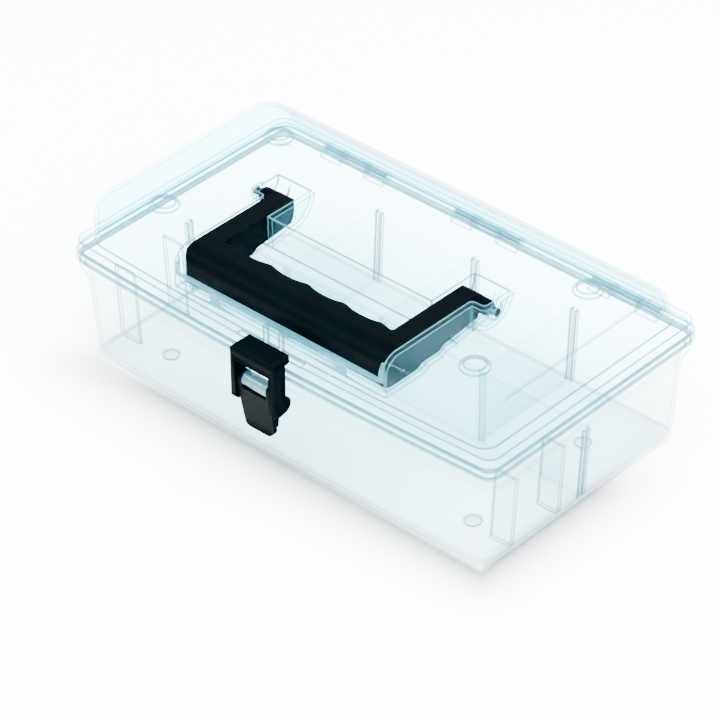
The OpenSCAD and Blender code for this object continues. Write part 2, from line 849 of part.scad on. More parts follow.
module latch_lever() {
    color(black_colour)
        placed()
            difference() {
                union() {
                    tongue();
                    both_sides() {
                        lever_arm();
                        pin_x(arm_in_x, link_y, link_z, hook_w / 2 - arm_in_x, latch_pin_r);
                    }
                }
                both_sides()
                    pin_x(arm_in_x - over, bar_y, bar_z, lever_arm_t + 2 * over, latch_pin_r + pin_gap);
            }
}

hook_y = -(front_y + hook_out);
hook_foot_z = flange_z - landing_d + hook_gap;
hook_top_z = hook_foot_z + hook_top_t;
hook_back_y = hook_y + hook_deep;

// Side of the hook: round top edges, a lip that drops behind the flange's edge, and a leg with a lobe
module hook_side() {
    lip_y = -front_y + hook_grip;
    polygon(concat(
        arc(hook_y + hook_edge_r, hook_top_z - hook_edge_r, hook_edge_r, 180, 90),
        arc(lip_y - hook_edge_r, hook_top_z - hook_edge_r, hook_edge_r, 90, 0),
        [
            [lip_y, hook_foot_z], [hook_back_y, hook_foot_z],
            [hook_back_y, link_z + lobe_r],
            [link_y + lobe_r * cos(40), link_z + lobe_r * sin(40)]
        ],
        arc(link_y, link_z, lobe_r, 30, -80, arc_steps * 2),
        [[hook_y + hook_t, link_z - lobe_r - hook_t / 2]],
        [[hook_y, link_z - lobe_r + hook_t / 2]]
    ));
}

module hook_plan() {
    polygon(concat(
        arc(-hook_w / 2 + hook_edge_r, hook_y + hook_edge_r, hook_edge_r, 180, 270),
        arc(hook_w / 2 - hook_edge_r, hook_y + hook_edge_r, hook_edge_r, 270, 360),
        [[hook_w / 2, 0], [-hook_w / 2, 0]]
    ));
}

// The lever works between the legs, below the face and the top plate
module hook_inside() {
    in_x = hook_w / 2 - leg_w;
    along_x(-in_x, 2 * in_x)
        polygon([
            [hook_y - over, hook_top_z - hook_face_h], [hook_y + hook_t, hook_top_z - hook_face_h],
            [hook_y + hook_t, hook_foot_z], [0, hook_foot_z], [0, 0], [hook_y - over, 0]
        ]);
}

module latch_hook() {
    color(black_colour)
        placed()
            difference() {
                intersection() {
                    along_x(-hook_w / 2, hook_w)
                        hook_side();
                    linear_extrude(case_h)
                        hook_plan();
                }
                hook_inside();
                both_sides()
                    pin_x(hook_w / 2 - leg_w - over, link_y, link_z, leg_w + 2 * over,
                          latch_pin_r + pin_gap);
            }
}

module hinge_pin(c) {
    color(steel_colour)
        placed()
            pin_x(c - hinge_l / 2, hinge_y, hinge_z, hinge_l, hinge_pin_r);
}

module hinge_pin_left() { hinge_pin(-hinge_pitch); }
module hinge_pin_centre() { hinge_pin(0); }
module hinge_pin_right() { hinge_pin(hinge_pitch); }

divider_foot_z = floor_z + divider_gap;
divider_front = -long_divider_y - divider_t / 2;
divider_back = -long_divider_y + divider_t / 2;

// The long divider follows the lean of the end walls and carries the slots of the cross dividers
module long_divider() {
    foot_run = half_l - wall_in(divider_foot_z) - wall - divider_gap;
    head_run = half_l - wall_in(web_top) - wall - divider_gap;
    color(clear_colour)
        placed() {
            along_y(divider_front, divider_t)
                polygon([
                    [-foot_run + bottom_edge_r, divider_foot_z],
                    [foot_run - bottom_edge_r, divider_foot_z],
                    [foot_run, divider_foot_z + bottom_edge_r],
                    [head_run, divider_z], [-head_run, divider_z],
                    [-foot_run, divider_foot_z + bottom_edge_r]
                ]);
            for (x = [-divider_pitch, 0, divider_pitch], s = [-1, 1])
                translate([x + s * (divider_t / 2 + divider_gap + rib_w / 2) - rib_w / 2,
                           divider_front, divider_foot_z])
                    cube([rib_w, divider_t + rib_d, rib_top - divider_foot_z]);
        }
}

module cross_divider(x) {
    foot_run = half_w - wall_in(divider_foot_z) - wall - divider_gap;
    head_run = half_w - wall_in(web_top) - wall - divider_gap;
    color(clear_colour)
        placed()
            along_x(x - divider_t / 2, divider_t)
                polygon([
                    [divider_back + divider_gap, divider_foot_z],
                    [foot_run - bottom_edge_r, divider_foot_z],
                    [foot_run, divider_foot_z + bottom_edge_r],
                    [head_run, divider_z], [divider_back + divider_gap, divider_z]
                ]);
}

module cross_divider_left() { cross_divider(-divider_pitch); }
module cross_divider_centre() { cross_divider(0); }
module cross_divider_right() { cross_divider(divider_pitch); }

tub();
lid();
handle();
latch_lever();
latch_hook();
hinge_pin_left();
hinge_pin_centre();
hinge_pin_right();
long_divider();
cross_divider_left();
cross_divider_centre();
cross_divider_right();
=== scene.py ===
"""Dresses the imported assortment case: clear shells, dark handle and latch, steel hinge pins."""

import logging
import math
from collections.abc import Callable
from dataclasses import dataclass
from enum import Enum

import bmesh
import bpy
import numpy as np
from mathutils import Matrix, Vector


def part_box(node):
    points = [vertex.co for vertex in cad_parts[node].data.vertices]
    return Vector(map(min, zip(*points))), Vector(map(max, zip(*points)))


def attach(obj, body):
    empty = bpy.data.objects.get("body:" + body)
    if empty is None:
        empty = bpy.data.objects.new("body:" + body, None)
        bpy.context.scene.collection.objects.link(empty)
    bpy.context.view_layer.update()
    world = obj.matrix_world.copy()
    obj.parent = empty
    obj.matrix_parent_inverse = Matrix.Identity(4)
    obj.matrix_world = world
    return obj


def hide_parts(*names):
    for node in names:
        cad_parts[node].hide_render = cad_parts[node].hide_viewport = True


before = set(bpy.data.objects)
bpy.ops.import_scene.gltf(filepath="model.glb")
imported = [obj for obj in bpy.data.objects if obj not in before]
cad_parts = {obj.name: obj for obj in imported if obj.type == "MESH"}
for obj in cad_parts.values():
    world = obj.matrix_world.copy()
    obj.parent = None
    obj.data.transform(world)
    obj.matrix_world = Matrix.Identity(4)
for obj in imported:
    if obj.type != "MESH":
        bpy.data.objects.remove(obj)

log = logging.getLogger("assortment_case")

PHOTO_PIXELS = 720
SENSOR_MM = 36.0
MM = 0.001
PLASTIC_IOR = 1.5
NOISE_MIDDLE = 0.5
NOT_ZERO = 1e-18  # the least number that anything is divided by

Colour = tuple[float, float, float, float]
Point = tuple[float, float, float]
Shaping = Callable[[np.ndarray], np.ndarray]  # takes points as rows and returns where they go


class Finish(Enum):
    """The plastics and the metal that the case is made of."""

    CLEAR = "clear"
    TINTED = "tinted"
    SHEET = "sheet"
    # painted shade inside the latch bar
    CLOUDED = "clouded"
    DARK = "dark"
    STEEL = "steel"


class Value:
    """A shader socket that takes part in Python arithmetic by adding Math nodes."""

    def __init__(self, graph: "Graph", socket: bpy.types.NodeSocket) -> None:
        """Wraps a socket.

        Args:
            graph: The graph that the socket belongs to.
            socket: The output socket to wrap.
        """
        self.graph = graph
        self.socket = socket

    def _math(self, operation: str, a: "Value | float",
              b: "Value | float | None" = None) -> "Value":
        """Adds one Math node.

        Args:
            operation: The Math node's operation.
            a: First operand.
            b: Second operand, if the operation has one.

        Returns:
            The node's output, wrapped.
        """
        inputs = {0: a} if b is None else {0: a, 1: b}
        return self.graph.node("ShaderNodeMath", {"operation": operation}, inputs)

    def __add__(self, other: "Value | float") -> "Value":
        """Sum."""
        return self._math("ADD", self, other)

    def __radd__(self, other: float) -> "Value":
        """Reflected sum."""
        return self._math("ADD", other, self)

    def __sub__(self, other: "Value | float") -> "Value":
        """Difference."""
        return self._math("SUBTRACT", self, other)

    def __rsub__(self, other: float) -> "Value":
        """Reflected difference."""
        return self._math("SUBTRACT", other, self)

    def __mul__(self, other: "Value | float") -> "Value":
        """Product."""
        return self._math("MULTIPLY", self, other)

    def __rmul__(self, other: float) -> "Value":
        """Reflected product."""
        return self._math("MULTIPLY", other, self)

    def __truediv__(self, other: "Value | float") -> "Value":
        """Quotient."""
        return self._math("DIVIDE", self, other)

    def __pow__(self, other: float) -> "Value":
        """Power."""
        return self._math("POWER", self, other)

    def __abs__(self) -> "Value":
        """Size without sign."""
        return self._math("ABSOLUTE", self)

    def clamp(self, low: float = 0.0, high: float = 1.0) -> "Value":
        """Limits the value.

        Args:
            low: Lowest result.
            high: Highest result.

        Returns:
            The limited value.
        """
        return self._math("MINIMUM", self._math("MAXIMUM", self, low), high)


class Graph:
    """One material's node tree."""

    EDGE_SAMPLES = 6
    MIX_SHARE, MIX_A, MIX_B, MIX_RESULT = 0, 6, 7, 2  # sockets of a Mix node that mixes colours

    def __init__(self, name: str) -> None:
        """Makes an empty material.

        Args:
            name: The material's name.
        """
        self.material = bpy.data.materials.new(name)
        self.material.use_nodes = True
        self.tree = self.material.node_tree
        self.tree.nodes.clear()

    def node(self, kind: str, settings: dict | None = None, inputs: dict | None = None,
             output: int | str = 0) -> Value:
        """Adds any node, sets it up and links it.

        Args:
            kind: The node's type.
            settings: Attributes to set first.
            inputs: Socket name or index to a value or a wrapped link.
            output: Which output to return.

        Returns:
            The chosen output, wrapped.
        """
        made = self.tree.nodes.new(kind)
        for key, setting in (settings or {}).items():
            setattr(made, key, setting)
        for key, given in (inputs or {}).items():
            if isinstance(given, Value):
                self.tree.links.new(given.socket, made.inputs[key])
            else:
                made.inputs[key].default_value = given
        return Value(self, made.outputs[output])

    def place(self, scale: Point = (1.0, 1.0, 1.0)) -> Value:
        """Object coordinates, stretched.

        Args:
            scale: Factor along each axis.

        Returns:
            The coordinates, in metres times the factor.
        """
        where = self.node("ShaderNodeTexCoord", output="Object")
        return self.node("ShaderNodeMapping", None, {"Vector": where, "Scale": scale})

    def noise(self, where: Value, scale: float, detail: float) -> Value:
        """Grey noise.

        Args:
            where: Coordinates.
            scale: Cells per metre.
            detail: Octaves.

        Returns:
            A value of about 0 to 1.
        """
        return self.node("ShaderNodeTexNoise", None,
                         {"Vector": where, "Scale": scale, "Detail": detail})

    def blend(self, share: Value, a: Colour, b: Colour) -> Value:
        """Mixes two colours.

        Args:
            share: Share of the second colour.
            a: First colour.
            b: Second colour.

        Returns:
            The mixed colour.
        """
        return self.node("ShaderNodeMix", {"data_type": "RGBA"},
                         {self.MIX_SHARE: share, self.MIX_A: a, self.MIX_B: b}, self.MIX_RESULT)

    def edge(self, radius: float, gain: float) -> Value:
        """How near an edge a point is: 0 on a flat face, more where a round edge turns the normal.

        Args:
            radius: Width of the band beside an edge, in metres.
            gain: Factor on 1 minus the cosine of the turn.

        Returns:
            The mask, 0 to 1.
        """
        flat = self.node("ShaderNodeNewGeometry", output="Normal")
        turned = self.node("ShaderNodeBevel", {"samples": self.EDGE_SAMPLES}, {"Radius": radius})
        along = self.node("ShaderNodeVectorMath", {"operation": "DOT_PRODUCT"},
                          {0: flat, 1: turned}, "Value")
        return ((1.0 - along) * gain).clamp()

    def bump(self, height: Value, strength: float, distance: float) -> Value:
        """A bumped normal.

        Args:
            height: Height pattern, 0 to 1.
            strength: Strength of the bump.
            distance: Height in metres.

        Returns:
            The normal.
        """
        return self.node("ShaderNodeBump", None,
                         {"Height": height, "Strength": strength, "Distance": distance}, "Normal")

    def principled(self, inputs: dict) -> Value:
        """Adds a Principled shader whose sockets take the given values and links."""
        return self.node("ShaderNodeBsdfPrincipled", None, inputs, "BSDF")

    def mix(self, share: Value, first: Value, second: Value) -> Value:
        """Mixes two shaders by the share of the second."""
        return self.node("ShaderNodeMixShader", None, {0: share, 1: first, 2: second})

    def finish(self, shader: Value) -> bpy.types.Material:
        """Joins a shader to the material's output.

        Args:
            shader: The final shader.

        Returns:
            The material.
        """
        end = self.tree.nodes.new("ShaderNodeOutputMaterial")
        self.tree.links.new(shader.socket, end.inputs["Surface"])
        return self.material


@dataclass(frozen=True)
class ClearPlastic:
    """Polished clear plastic: faces nearly vanish, edges and steep curves get a painted shade in a
    cool grey.

    Attributes:
        name: The material's name.
        milk: Colour of the haze on an open face.
        deep: Colour of the painted shade on edges and steep faces.
        through: Tint of the light that passes.
        sheen: Tint of the reflection.
        haze: Cover of the haze on an open face.
        haze_even: The haze's even share.
        haze_swing: The share that follows the flow marks.
        grazing: Cover of the painted shade on a face seen edge on.
        grazing_from: Slant, 0 to 1, from which a face gathers cover.
        grazing_power: How late it does so.
        edge_weight: Cover of the painted shade at an edge.
        edge_radius: Width of the band beside an edge, in metres.
        edge_gain: Factor on the edge's turn.
        most_edge_shade: Most cover of the painted shade that edges and slant give.
        densest: Most cover with the haze.
        deepening: Factor on that cover which sets how soon the deep colour takes over.
        facing: Balance of the slant.
        flow_scale: Flow marks per metre.
        flow_stretch: Their stretch along each axis.
        flow_detail: Their octaves.
        ripple: Strength of the flow marks' bump.
        ripple_height: Its height in metres.
        roughness: Roughness of the skin.
        roughness_swing: How far flow marks change it.
        specular: Specular level of the skin.
        bent: Share of the light that passes as an unbent refraction, and not past the skin.
        gloss: Strength of the reflection.
        gloss_least: Reflection of a face seen square on, before that strength.
        gloss_rise: What slant adds to it.
        gloss_power: How late it adds that.
        gloss_roughness: Roughness of the reflection.
    """

    name: str = "clear_plastic"
    milk: Colour = (0.70, 0.94, 1.0, 1.0)
    deep: Colour = (0.02, 0.085, 0.105, 1.0)
    through: Colour = (0.90, 0.985, 0.998, 1.0)
    sheen: Colour = (0.52, 0.87, 1.0, 1.0)
    haze: float = 0.002
    haze_even: float = 0.6
    haze_swing: float = 0.8
    grazing: float = 0.9
    grazing_from: float = 0.42
    grazing_power: float = 1.7
    edge_weight: float = 0.95
    edge_radius: float = 0.0015
    edge_gain: float = 18.0
    most_edge_shade: float = 0.94
    densest: float = 0.96
    deepening: float = 400.0
    facing: float = 0.5
    flow_scale: float = 22.0
    flow_stretch: Point = (1.0, 1.0, 2.5)
    flow_detail: float = 2.0
    ripple: float = 0.08
    ripple_height: float = 0.0003
    roughness: float = 0.08
    roughness_swing: float = 0.05
    specular: float = 0.25
    bent: float = 0.42
    gloss: float = 0.12
    gloss_least: float = 0.04
    gloss_rise: float = 0.9
    gloss_power: float = 5.0
    gloss_roughness: float = 0.06

    def material(self) -> bpy.types.Material:
        """Builds the material.

        Returns:
            The material: a thin skin of haze, with a painted shade along edges and at grazing
                angles, over plastic that light passes straight, a share of it as an unbent
                refraction, with a polished reflection on top.
        """
        g = Graph(self.name)
        flow = g.noise(g.place(self.flow_stretch), self.flow_scale, self.flow_detail)
        edge = g.edge(self.edge_radius, self.edge_gain)
        slant = g.node("ShaderNodeLayerWeight", None, {"Blend": self.facing}, "Facing")
        steep = ((slant - self.grazing_from) / (1.0 - self.grazing_from)).clamp()
        steep = steep ** self.grazing_power
        # painted shade: edges and steep faces take the dark deep colour, where clear plastic bends
        # light away
        painted_edge_shade = (self.grazing * steep + self.edge_weight * edge).clamp(0.0, self.most_edge_shade)
        cover = painted_edge_shade + self.haze * (self.haze_even + self.haze_swing * flow)
        cover = cover.clamp(0.0, self.densest)
        colour = g.blend((painted_edge_shade * self.deepening).clamp(), self.milk, self.deep)
        normal = g.bump(flow, self.ripple, self.ripple_height)
        skin = g.principled({
            "Base Color": colour, "Roughness": self.roughness + self.roughness_swing * flow,
            "IOR": PLASTIC_IOR, "Specular IOR Level": self.specular,
            "Alpha": cover / ((1.0 - self.bent) + self.bent * cover), "Normal": normal})
        straight = g.node("ShaderNodeBsdfRefraction", None,
                          {"Color": self.through, "Roughness": 0.0, "IOR": 1.0})
        body = g.mix(self.bent * (1.0 - cover), skin, straight)
        mirror = g.node("ShaderNodeBsdfAnisotropic", None,
                        {"Color": self.sheen, "Roughness": self.gloss_roughness,
                         "Normal": normal})
        shine = self.gloss * (self.gloss_least + self.gloss_rise * slant ** self.gloss_power)
        return g.finish(g.mix(shine, body, mirror))


@dataclass(frozen=True)
class DarkPlastic:
    """Near-black moulded plastic with a fine spark-eroded grain, a little polished on its edges,
    which carry a painted highlight in a lighter teal.

    Attributes:
        name: The material's name.
        deep: Its colour.
        tone_and_edge_highlight: Its lighter colour, in clouds of random tone and as a painted
            highlight on edges.
        cloud_wear: Wear in a cloud's middle.
        edge_highlight: Share of that lighter colour on an edge, a painted highlight.
        roughness: Its roughness.
        cloud_roughness: How far clouds change it.
        grain_roughness: How far the grain adds to it.
        edge_smoothness: How far an edge takes from it.
        specular: Specular level.
        specular_tint: Tint of the reflection.
        cloud_scale: Clouds per metre.
        cloud_detail: Their octaves.
        grain_scale: Grains per metre.
        grain_detail: Their octaves.
        grain_bump: Strength of their bump.
        grain_height: Its height in metres.
        edge_radius: Width of the polished band beside an edge, in metres.
        edge_gain: Factor on the edge's turn.
    """

    name: str = "dark_plastic"
    deep: Colour = (0.00002, 0.00022, 0.00035, 1.0)
    tone_and_edge_highlight: Colour = (0.0001, 0.0010, 0.0015, 1.0)
    cloud_wear: float = 0.6
    edge_highlight: float = 0.5
    roughness: float = 0.36
    cloud_roughness: float = 0.14
    grain_roughness: float = 0.06
    edge_smoothness: float = 0.14
    specular: float = 0.007
    specular_tint: Colour = (0.45, 0.85, 1.0, 1.0)
    cloud_scale: float = 60.0
    cloud_detail: float = 3.0
    grain_scale: float = 2600.0
    grain_detail: float = 2.0
    grain_bump: float = 0.3
    grain_height: float = 0.00006
    edge_radius: float = 0.0008
    edge_gain: float = 5.0

    def material(self) -> bpy.types.Material:
        """Builds the material.

        Returns:
            The material: grain as bump, slow change in roughness and colour, smoother edges with a
                painted highlight.
        """
        g = Graph(self.name)
        where = g.place()
        grain = g.noise(where, self.grain_scale, self.grain_detail)
        cloud = g.noise(where, self.cloud_scale, self.cloud_detail)
        edge = g.edge(self.edge_radius, self.edge_gain)
        rough = (self.roughness + self.cloud_roughness * (cloud - NOISE_MIDDLE)
                 + self.grain_roughness * grain - self.edge_smoothness * edge)
        # painted highlight: edges take the lighter colour; clouds vary the tone at random
        tone_and_highlight = (self.cloud_wear * cloud + self.edge_highlight * edge).clamp()
        return g.finish(g.principled({
            "Base Color": g.blend(tone_and_highlight, self.deep, self.tone_and_edge_highlight), "Roughness": rough,
            "IOR": PLASTIC_IOR, "Specular IOR Level": self.specular,
            "Specular Tint": self.specular_tint,
            "Normal": g.bump(grain, self.grain_bump, self.grain_height)}))


@dataclass(frozen=True)
class SteelWire:
    """Drawn steel wire of the hinge pins.

    Attributes:
        name: The material's name.
        bright: Its colour between the streaks.
        dull: Its colour on a streak.
        roughness: Its roughness between the streaks.
        streak_roughness: What a streak adds to it.
        streak_scale: Streaks per metre.
        streak_stretch: Their stretch along each axis, long along the wire.
        streak_detail: Their octaves.
        streak_bump: Strength of their bump.
        streak_height: Its height in metres.
    """

    name: str = "steel_wire"
    bright: Colour = (0.62, 0.63, 0.65, 1.0)
    dull: Colour = (0.36, 0.36, 0.37, 1.0)
    roughness: float = 0.22
    streak_roughness: float = 0.2
    streak_scale: float = 5200.0
    streak_stretch: Point = (0.05, 1.0, 1.0)
    streak_detail: float = 2.0
    streak_bump: float = 0.2
    streak_height: float = 0.00003

    def material(self) -> bpy.types.Material:
        """Builds the material.

        Returns:
            The material: fine streaks along the wire.
        """
        g = Graph(self.name)
        streaks = g.noise(g.place(self.streak_stretch), self.streak_scale, self.streak_detail)
        return g.finish(g.principled({
            "Base Color": g.blend(streaks, self.bright, self.dull), "Metallic": 1.0,
            "Roughness": self.roughness + self.streak_roughness * streaks,
            "Normal": g.bump(streaks, self.streak_bump, self.streak_height)}))


@dataclass(frozen=True)
class PaleFloor:
    """Plain pale floor of the studio, with a painted soft shadow beside the clear case.

    Attributes:
        name: The material's name.
        colour: Its colour.
        shaded: Its colour where the painted shadow is deepest.
        half_x: Half the footprint's length, in metres.
        half_y: Half the footprint's width.
        reach: How far the shadow reaches past the footprint.
        inside: How far it reaches under the case.
        fade_power: How fast it fades outwards.
        side_scale: How soon it sets in, going round the footprint from back left to front right.
        side_lean: How far the line where it sets in leans from the y axis.
        roughness: Its roughness.
        specular: Its specular level.
    """

    name: str = "pale_floor"
    colour: Colour = (0.95, 0.955, 0.96, 1.0)
    shaded: Colour = (0.13, 0.14, 0.145, 1.0)
    half_x: float = 0.136
    half_y: float = 0.0735
    reach: float = 0.055
    inside: float = 0.009
    fade_power: float = 2.5
    side_scale: float = 10.0
    side_lean: float = 2.5
    roughness: float = 0.9
    specular: float = 0.1

    def material(self) -> bpy.types.Material:
        """Builds the material.

        With px and py how far a point lies past the footprint along x and y, the distance outside
        is the root of the sum of their squares where they are above 0, and the distance inside is
        the larger of them, taken as half of px plus py plus the size of px less py.

        Returns:
            A diffuse material with a painted shadow: darker in a band round the case's front and
                right that fades out both away from the footprint and under the case.
        """
        g = Graph(self.name)
        where = g.place()
        x, y = (g.node("ShaderNodeSeparateXYZ", None, {0: where}, axis) for axis in ("X", "Y"))
        past_x, past_y = abs(x) - self.half_x, abs(y) - self.half_y
        far = (past_x.clamp() ** 2.0 + past_y.clamp() ** 2.0) ** 0.5
        under = (past_x + past_y + abs(past_x - past_y)) * 0.5
        side = ((x - self.side_lean * y) * self.side_scale).clamp()
        outwards = (1.0 - far / self.reach).clamp() ** self.fade_power
        inwards = (1.0 + under / self.inside).clamp()
        # painted shadow: the floor's colour darkens towards the shaded colour in the band
        return g.finish(g.principled({
            "Base Color": g.blend(outwards * inwards * side, self.colour, self.shaded),
            "Roughness": self.roughness, "Specular IOR Level": self.specular}))


class Palette:
    """Every finish's material, built once."""

    def __init__(self) -> None:
        """Builds the materials."""
        recipes = {
            Finish.CLEAR: ClearPlastic(),
            Finish.TINTED: ClearPlastic("tinted_plastic", bent=0.5,
                                        through=(0.62, 0.935, 0.985, 1.0)),
            Finish.SHEET: ClearPlastic("clear_sheet", edge_weight=0.5, edge_radius=0.0006),
            # painted shade: the dark haze that fills the latch bar
            Finish.CLOUDED: ClearPlastic("bar_shade_plastic", haze=0.6,
                                         milk=(0.035, 0.06, 0.07, 1.0)),
            Finish.DARK: DarkPlastic(),
            Finish.STEEL: SteelWire(),
        }
        self.materials = {finish: recipe.material() for finish, recipe in recipes.items()}

    def dress(self, piece: bpy.types.Object, finish: Finish) -> None:
        """Gives a piece its finish.

        Args:
            piece: The piece.
            finish: Which finish.
        """
        piece.data.materials.clear()
        piece.data.materials.append(self.materials[finish])
        log.info("dressed %s in the %s finish", piece.name, finish.value)


def stand(name: str, data: bpy.types.ID) -> bpy.types.Object:
    """Makes an object and stands it in the scene.

    Args:
        name: The object's name.
        data: Its mesh, light or camera.

    Returns:
        The object, at the origin.
    """
    made = bpy.data.objects.new(name, data)
    bpy.context.scene.collection.objects.link(made)
    return made


@dataclass(frozen=True)
class Lamp:
    """One soft square light that faces a point.

    Attributes:
        name: The light's name.
        at: Where it hangs.
        size: Side of the square, in metres.
        watts: Its power.
        aim: The point that it faces.
    """

    name: str
    at: Point
    size: float
    watts: float
    aim: Point = (0.0, 0.0, 0.05)

    def hang(self) -> None:
        """Makes the light and hangs it in its place."""
        data = bpy.data.lights.new(self.name, "AREA")
        data.size = self.size
        data.energy = self.watts
        lamp = stand(self.name, data)
        lamp.location = self.at
        facing = Vector(self.aim) - Vector(self.at)
        lamp.rotation_euler = facing.to_track_quat("-Z", "Y").to_euler()


@dataclass
class Studio:
    """Camera, lights and floor.

    Attributes:
        camera_at: Where the camera stands.
        right: The camera's axis to the right of the picture.
        up: Its axis up the picture.
        back: Its axis out of the picture, towards the viewer.
        focal_pixels: Its focal length, in pixels of the photograph.
        sight: How far it sees, in metres.
        floor_half: Half a side of the floor.
        surround: Strength of the light from all round.
        surround_colour: Colour of that light.
        lamps: The lights.
    """

    camera_at: Point = (1.07046523, -1.17618694, 1.18788039)
    right: Point = (0.73969402, 0.67290349, -0.00732457)
    up: Point = (-0.39297447, 0.44076458, 0.80703014)
    back: Point = (0.54628181, -0.594077, 0.59046482)
    focal_pixels: float = 3792.94
    sight: float = 100.0
    floor_half: float = 6.0
    surround: float = 3.5
    surround_colour: Colour = (0.97, 0.985, 1.0, 1.0)
    lamps: tuple[Lamp, ...] = (Lamp("top_light", (0.9, -0.3, 2.0), 3.6, 1100.0),
                               Lamp("left_light", (-1.1, -1.1, 1.1), 0.7, 45.0))

    def camera(self) -> None:
        """Makes the camera at the photograph's angle."""
        data = bpy.data.cameras.new("photo_camera")
        data.sensor_width = SENSOR_MM
        data.lens = self.focal_pixels / PHOTO_PIXELS * SENSOR_MM
        data.clip_end = self.sight
        turn = np.eye(4)
        turn[:3] = np.column_stack([self.right, self.up, self.back, self.camera_at])
        eye = stand("photo_camera", data)
        eye.matrix_world = Matrix(turn.tolist())
        bpy.context.scene.camera = eye

    def light(self) -> None:
        """Lights the set: an even surround, a very large soft light above, a small one at left."""
        world = bpy.data.worlds.new("studio")
        world.use_nodes = True
        sky = world.node_tree.nodes["Background"]
        sky.inputs["Color"].default_value = self.surround_colour
        sky.inputs["Strength"].default_value = self.surround
        bpy.context.scene.world = world
        for lamp in self.lamps:
            lamp.hang()

    def floor(self) -> None:
        """Lays the floor."""
        h = self.floor_half
        corners = [(-h, -h, 0.0), (h, -h, 0.0), (h, h, 0.0), (-h, h, 0.0)]
        mesh = bpy.data.meshes.new("floor")
        mesh.from_pydata(corners, [], [(0, 1, 2, 3)])
        mesh.materials.append(PaleFloor().material())
        stand("floor", mesh)


@dataclass(frozen=True)
class RoundBar:
    """A bar along x whose section is a superellipse and whose ends are rounded off.

    Attributes:
        name: The piece's name.
        half_length: Half its length.
        half_width: Half its width.
        squareness: 2 for a round bar, more for a squarer one.
        end_share: Share of each half that the rounded end takes up.
        end_width: Width at the very end, as a share of the bar's.
        rows: Sections along it.
        around: Points around a section.
    """

    name: str
    half_length: float
    half_width: float
    squareness: float
    end_share: float = 0.1
    end_width: float = 0.75
    rows: int = 15
    around: int = 48

    def make(self, axis_y: float, axis_z: float) -> bpy.types.Object:
        """Makes the bar.

        With t going round the section and u along the bar from -1 to 1, a point is y = w c and
        z = w s from the axis. c and s are cos t and sin t raised to 2 / squareness with their
        signs kept, and w is the half width, less what a quarter circle takes off at the ends.

        Args:
            axis_y: The bar's axis, across.
            axis_z: The bar's axis, up.

        Returns:
            The piece, closed at both ends.
        """
        rows, around = self.rows, self.around
        u = np.sin(np.linspace(-0.5 * np.pi, 0.5 * np.pi, rows))
        t = np.linspace(0.0, 2.0 * np.pi, around, endpoint=False)
        c, s = (np.sign(wave) * np.abs(wave) ** (2.0 / self.squareness)
                for wave in (np.cos(t), np.sin(t)))
        late = np.clip((np.abs(u) - (1.0 - self.end_share)) / self.end_share, 0.0, 1.0)
        w = self.end_width + (1.0 - self.end_width) * np.sqrt(1.0 - late ** 2)
        w = self.half_width * w
        points = np.empty((rows, around, 3))
        points[..., 0] = (u * self.half_length)[:, None]
        points[..., 1] = axis_y + w[:, None] * c[None, :]
        points[..., 2] = axis_z + w[:, None] * s[None, :]
        i, j = np.meshgrid(np.arange(rows - 1), np.arange(around), indexing="ij")
        here, beside = i * around + j, i * around + (j + 1) % around
        sides = np.stack([here, beside, beside + around, here + around], axis=-1)
        last = rows * around
        ends = [list(range(around))[::-1], list(range(last - around, last))]
        mesh = bpy.data.meshes.new(self.name)
        mesh.from_pydata(points.reshape(-1, 3).tolist(), [], sides.reshape(-1, 4).tolist() + ends)
        smooth = np.arange(len(mesh.polygons)) < len(mesh.polygons) - len(ends)
        mesh.polygons.foreach_set("use_smooth", smooth)
        return stand(self.name, mesh)


def rounded_corner(first: np.ndarray, second: np.ndarray,
                   radius: float) -> tuple[np.ndarray, np.ndarray]:
    """Turns the square corner where two distances reach 0 into a round one.

    Both are measured inwards from the corner's two faces. Where a point lies within the radius of
    both faces and outside the arc about (radius, radius), it is drawn in along its ray until it
    is on the arc.

    Args:
        first: Each point's distance from the first face.
        second: Each point's distance from the second face.
        radius: Radius of the round.

    Returns:
        The two distances afterwards.
    """
    u, v = radius - first, radius - second
    far = np.hypot(u, v)
    outside = (u > 0.0) & (v > 0.0) & (far > radius)
    shrink = np.where(outside, radius / np.maximum(far, NOT_ZERO), 1.0)
    return (np.where(outside, radius - u * shrink, first),
            np.where(outside, radius - v * shrink, second))


